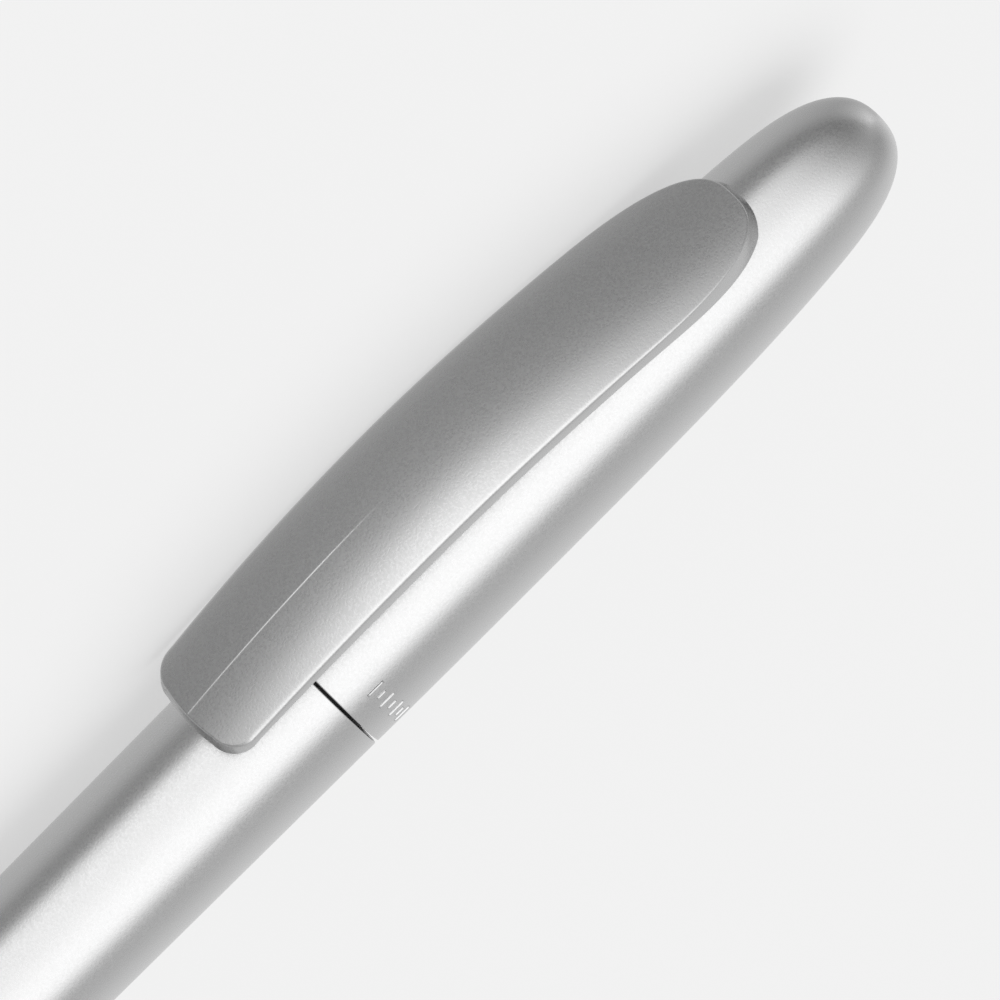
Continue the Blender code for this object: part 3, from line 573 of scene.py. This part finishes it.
def clip_section(point, normal, side):
    """One side of the clip's section at an outline point: top from the middle out, edge, underside."""
    outer = Vector(point)
    inner = outer - normal * SLOPE_REACH
    fall = clip_rise(side * inner.x, inner.y) - clip_rise(side * outer.x, outer.y)
    slope = min(STEEPEST_FALL, max(-STEEPEST_RISE, math.atan2(fall, SLOPE_REACH)))
    edge = clip_edge_round(outer.y)
    top_edge = outer - normal * edge * (1.0 - math.sin(slope))
    half = max(0.0, top_edge.x)
    section = [(x, clip_rise(side * x, top_edge.y), top_edge.y) for x in across_columns(half)]
    centre = clip_rise(side * half, top_edge.y) - edge * math.cos(slope)
    arc_steps = 10
    for i in range(1, arc_steps + 1):
        angle = slope + (math.pi / 2 - slope) * i / arc_steps
        place = outer - normal * edge * (1.0 - math.sin(angle))
        section.append((max(0.0, place.x), centre + edge * math.cos(angle), place.y))
    bottom = centre + edge - clip_thickness(outer.y)
    bottom = max(bottom, seat_rise(outer.x, outer.y))
    foot = outer + normal * CLIP_END_DRAFT * abs(normal.y)
    under_steps = 4
    for i in range(under_steps + 1):
        angle = math.pi / 2 * i / under_steps
        place = foot - normal * CLIP_UNDER_ROUND * (1.0 - math.cos(angle))
        lift = CLIP_UNDER_ROUND * (1.0 - math.sin(angle))
        section.append((max(0.0, place.x), bottom + lift, place.y))
    last = foot - normal * CLIP_UNDER_ROUND
    half = max(0.0, last.x)
    steps = 10
    for i in range(1, steps + 1):
        x = half * (1.0 - i / steps)
        under = bottom + clip_drop(side * half) - clip_drop(side * x)
        section.append((x, max(under, seat_rise(x, last.y)), last.y))
    return section


def seat_rise(across, height):
    """The height over the axis at which the clip's underside meets the casing."""
    if height < CLIP_SEAT_FROM:
        return 0.0
    radius = casing_radius(height) + CLIP_SEAT_GAP
    return math.sqrt(max(0.0, radius**2 - across**2))


def build_clip():
    points = clip_outline()
    normals = outline_normals(points)
    sides = (1.0, -1.0)
    halves = [[clip_section(point, normal, side) for point, normal in zip(points, normals)] for side in sides]
    size = len(halves[0][0])
    verts = []
    faces = []
    for side, half in zip(sides, halves):
        base = len(verts)
        for row, section in enumerate(half):
            under = (halves[0][row][-1][1] + halves[1][row][-1][1]) / 2
            for x, rise, height in section[:-1]:
                verts.append((side * x, rise, height))
            verts.append((0.0, under, section[-1][2]))
        for row in range(len(half) - 1):
            for column in range(size - 1):
                a = base + row * size + column
                faces.append((a, a + 1, a + 1 + size, a + size))
    clip = finish_mesh("clip_plate", verts, faces, "clip", MATERIALS["silver_lacquer"])
    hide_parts("clip")


# ---------------------------------------------------------------- raised index ticks near the casing's rim

TICK_COUNT = 7
TICK_MIDDLE = 2.55 * MM
TICK_LONG = 1.55 * MM
TICK_SHORT = 0.85 * MM
TICK_WIDTH = 0.26 * MM
TICK_HEIGHT = 0.10 * MM
TICK_SUNK = 0.05 * MM
TICK_SHARP = 60.0
TICK_PITCH = math.radians(7.0)
TICK_FIRST = math.radians(66.0)


def tick_point(angle, height, lift):
    radius = casing_radius(height) + lift
    return (-radius * math.sin(angle), radius * math.cos(angle), height)


def build_ticks():
    """Short raised bars with rounded tops, every other one shorter."""
    verts = []
    faces = []
    columns = 8
    rows = 16
    for n in range(TICK_COUNT):
        middle = TICK_FIRST + TICK_PITCH * n
        length = TICK_LONG if n % 2 == 0 else TICK_SHORT
        base = len(verts)
        for i in range(rows + 1):
            v = 2 * i / rows - 1
            for k in range(columns + 1):
                u = 2 * k / columns - 1
                top = (1 - abs(v) ** 10) * (1 - abs(u) ** 4)
                lift = -TICK_SUNK + (TICK_HEIGHT + TICK_SUNK) * max(0.0, top) ** 0.5
                angle = middle + u * TICK_WIDTH / 2 / CASING_RADIUS
                verts.append(tick_point(angle, TICK_MIDDLE + v * length / 2, lift))
        for i in range(rows):
            for k in range(columns):
                a = base + i * (columns + 1) + k
                faces.append((a, a + 1, a + columns + 2, a + columns + 1))
        rim = [base + k for k in range(columns + 1)]
        rim += [base + i * (columns + 1) + columns for i in range(1, rows + 1)]
        rim += [base + rows * (columns + 1) + k for k in range(columns - 1, -1, -1)]
        rim += [base + i * (columns + 1) for i in range(rows - 1, 0, -1)]
        faces.append(rim)
    lacquer = MATERIALS["silver_lacquer"]
    finish_mesh("index_ticks", verts, faces, "upper", lacquer, TICK_SHARP)


build_casing()
build_barrel()
build_nose()
build_point()
build_clip()
build_ticks()

for name, node in frame["nodes"].items():
    slot = next(part["material_slot"] for part in frame["record"]["subparts"] if part["node"] == name)
    node.data.materials.clear()
    node.data.materials.append(MATERIALS[slot])

# ---------------------------------------------------------------- camera

VIEW_FROM_CLIP = math.radians(32.0)
AIM_HEIGHT = 17.2 * MM
AIM_ASIDE = 0.25 * MM
CAMERA_DISTANCE = 0.58
CAMERA_LENS = 313.0
SENSOR_WIDTH = 36.0
NEAREST = 0.01

AXIS = (PEN.to_3x3() @ Vector((0.0, 0.0, 1.0))).normalized()
CLIP_WAY = (PEN.to_3x3() @ Vector((0.0, 1.0, 0.0))).normalized()
VIEW = (Matrix.Rotation(VIEW_FROM_CLIP, 3, AXIS) @ CLIP_WAY).normalized()
ASIDE = AXIS.cross(VIEW).normalized()


def add_camera():
    """Square to the pen's axis, rolled so that the pen runs from lower left to upper right."""
    if ASIDE.z < 0.0:
        raise ValueError("the camera looks at the pen from the wrong side")
    right = (AXIS + ASIDE).normalized()
    up = (AXIS - ASIDE).normalized()
    aim = PEN @ Vector((0.0, 0.0, AIM_HEIGHT)) + ASIDE * AIM_ASIDE
    camera_data = bpy.data.cameras.new("camera")
    camera_data.lens = CAMERA_LENS
    camera_data.sensor_width = SENSOR_WIDTH
    camera_data.clip_start = NEAREST
    camera = bpy.data.objects.new("camera", camera_data)
    turn = Matrix((right, up, VIEW)).transposed()
    camera.matrix_world = Matrix.Translation(aim + VIEW * CAMERA_DISTANCE) @ turn.to_4x4()
    bpy.context.scene.collection.objects.link(camera)
    bpy.context.scene.camera = camera


add_camera()

# ---------------------------------------------------------------- studio

FLOOR_HALF = 3.0
FLOOR_DROP = 0.02 * MM
FLOOR_GLOW = 0.54
FLOOR_PAINT = 0.35
FLOOR_ROUGHNESS = 0.9
FILL = 0.52
SUN_ENERGY = 1.55
SUN_WIDTH = math.radians(75.0)
SUN_ELEVATION = math.radians(71.0)

# The box's sides slant past this angle towards the dome, by this share of what is past it
SLANT_START = 15.0
SLANT = 0.33

# How much further along the levels are read below the viewing side than above it
SKEW = 0.12

# Light levels by angle in degrees
SURROUND = [
    (-180, 0.75),
    (-155, 0.60),
    (-110, 0.56),
    (-92, 0.46),
    (-80, 0.29),
    (-58, 0.30),
    (-20, 0.40),
    (20, 0.52),
    (75, 0.48),
    (95, 0.54),
    (120, 0.66),
    (180, 0.80),
]
BOX_AROUND = [
    (-180, 0.0),
    (-58, 0.0),
    (-45, 1.05),
    (-32, 1.08),
    (-12, 0.92),
    (8, 0.90),
    (20, 0.92),
    (48, 0.92),
    (69, 0.0),
    (180, 0.0),
]
SURROUND_ALONG = [(0, 1.0), (12, 1.02), (30, 0.88), (55, 0.70), (75, 0.90), (90, 1.2)]
BOX_ALONG = [(0, 1.0), (8, 0.92), (17, 0.56), (25, 0.28), (34, 0.12), (45, 0.03), (60, 0.0), (90, 0.0)]


def add_floor():
    mesh = bpy.data.meshes.new("floor")
    half = FLOOR_HALF
    corners = [(x, y, -FLOOR_DROP) for x, y in ((-half, -half), (half, -half), (half, half), (-half, half))]
    mesh.from_pydata(corners, [], [(0, 1, 2, 3)])
    paint = (FLOOR_PAINT, FLOOR_PAINT, FLOOR_PAINT)
    material, _, _, shader = new_material("floor_paper", paint, 0.0, FLOOR_ROUGHNESS)
    shader.inputs["Specular IOR Level"].default_value = 0.0
    shader.inputs["Emission Color"].default_value = (1.0, 1.0, 1.0, 1.0)
    shader.inputs["Emission Strength"].default_value = FLOOR_GLOW
    mesh.materials.append(material)
    floor = bpy.data.objects.new("floor", mesh)
    floor.visible_glossy = False
    bpy.context.scene.collection.objects.link(floor)


def add_soft_sun():
    """Wide overhead light, a little from behind, which gives the soft shadow on the floor."""
    lamp = bpy.data.lights.new("soft_sun", "SUN")
    lamp.energy = SUN_ENERGY
    lamp.angle = SUN_WIDTH
    sun = bpy.data.objects.new("soft_sun", lamp)
    toward = Vector((0.0, math.cos(SUN_ELEVATION), math.sin(SUN_ELEVATION)))
    sun.rotation_euler = toward.to_track_quat("Z", "Y").to_euler()
    sun.location = toward
    sun.visible_glossy = False
    bpy.context.scene.collection.objects.link(sun)


class WorldNodes:
    """Small helpers for maths on the light's direction."""

    def __init__(self, tree):
        self.nodes, self.links = tree.nodes, tree.links

    def dot(self, direction, axis):
        node = self.nodes.new("ShaderNodeVectorMath")
        node.operation = "DOT_PRODUCT"
        node.inputs[1].default_value = axis
        self.links.new(direction, node.inputs[0])
        return node.outputs["Value"]

    def math(self, operation, *values):
        node = self.nodes.new("ShaderNodeMath")
        node.operation = operation
        for socket, value in zip(node.inputs, values):
            if isinstance(value, float):
                socket.default_value = value
            else:
                self.links.new(value, socket)
        return node.outputs[0]

    def ramp(self, source, low, high, stops):
        """Levels at places between low and high, joined by straight lines."""
        share = self.nodes.new("ShaderNodeMapRange")
        share.inputs["From Min"].default_value = low
        share.inputs["From Max"].default_value = high
        self.links.new(source, share.inputs["Value"])
        node = self.nodes.new("ShaderNodeValToRGB")
        elements = node.color_ramp.elements
        while len(elements) < len(stops):
            elements.new(0.5)
        for element, (place, level) in zip(elements, stops):
            element.position = (place - low) / (high - low)
            element.color = (level, level, level, 1.0)
        self.links.new(share.outputs["Result"], node.inputs["Fac"])
        return node.outputs["Color"]


def add_world():
    """A long soft box wrapped round the viewing side of the pen, in a grey surround.

    Around is the angle about the pen's axis from the viewing side, positive upwards;
    along is the angle towards the dome."""
    world = bpy.data.worlds.new("studio")
    world.use_nodes = True
    bpy.context.scene.world = world
    world.node_tree.nodes.clear()
    kit = WorldNodes(world.node_tree)
    nodes, links = kit.nodes, kit.links
    direction = nodes.new("ShaderNodeTexCoord").outputs["Generated"]
    turn = kit.math("ARCTAN2", kit.dot(direction, ASIDE), kit.dot(direction, VIEW))
    around = kit.math("DEGREES", turn)
    along = kit.math("DEGREES", kit.math("ARCSINE", kit.dot(direction, AXIS)))
    past = kit.math("MAXIMUM", kit.math("SUBTRACT", along, SLANT_START), 0.0)
    slanted = kit.math("SUBTRACT", around, kit.math("MULTIPLY", past, SLANT))
    surround = kit.ramp(slanted, -180.0, 180.0, SURROUND)
    box = kit.ramp(slanted, -180.0, 180.0, BOX_AROUND)
    shifted = kit.math("SUBTRACT", kit.math("ABSOLUTE", along), kit.math("MULTIPLY", around, SKEW))
    strip = kit.ramp(shifted, 0.0, 90.0, BOX_ALONG)
    shade = kit.ramp(shifted, 0.0, 90.0, SURROUND_ALONG)
    level = kit.math("ADD", kit.math("MULTIPLY", surround, shade), kit.math("MULTIPLY", box, strip))
    glossy = nodes.new("ShaderNodeBackground")
    links.new(level, glossy.inputs["Color"])
    plain = nodes.new("ShaderNodeBackground")
    plain.inputs["Color"].default_value = (FILL, FILL, FILL, 1.0)
    path = nodes.new("ShaderNodeLightPath")
    pick = nodes.new("ShaderNodeMixShader")
    links.new(path.outputs["Is Glossy Ray"], pick.inputs["Fac"])
    links.new(plain.outputs[0], pick.inputs[1])
    links.new(glossy.outputs[0], pick.inputs[2])
    output = nodes.new("ShaderNodeOutputWorld")
    links.new(pick.outputs[0], output.inputs["Surface"])


add_floor()
add_soft_sun()
add_world()
bpy.context.scene.view_settings.view_transform = "Standard"
bpy.context.scene.view_settings.look = "None"
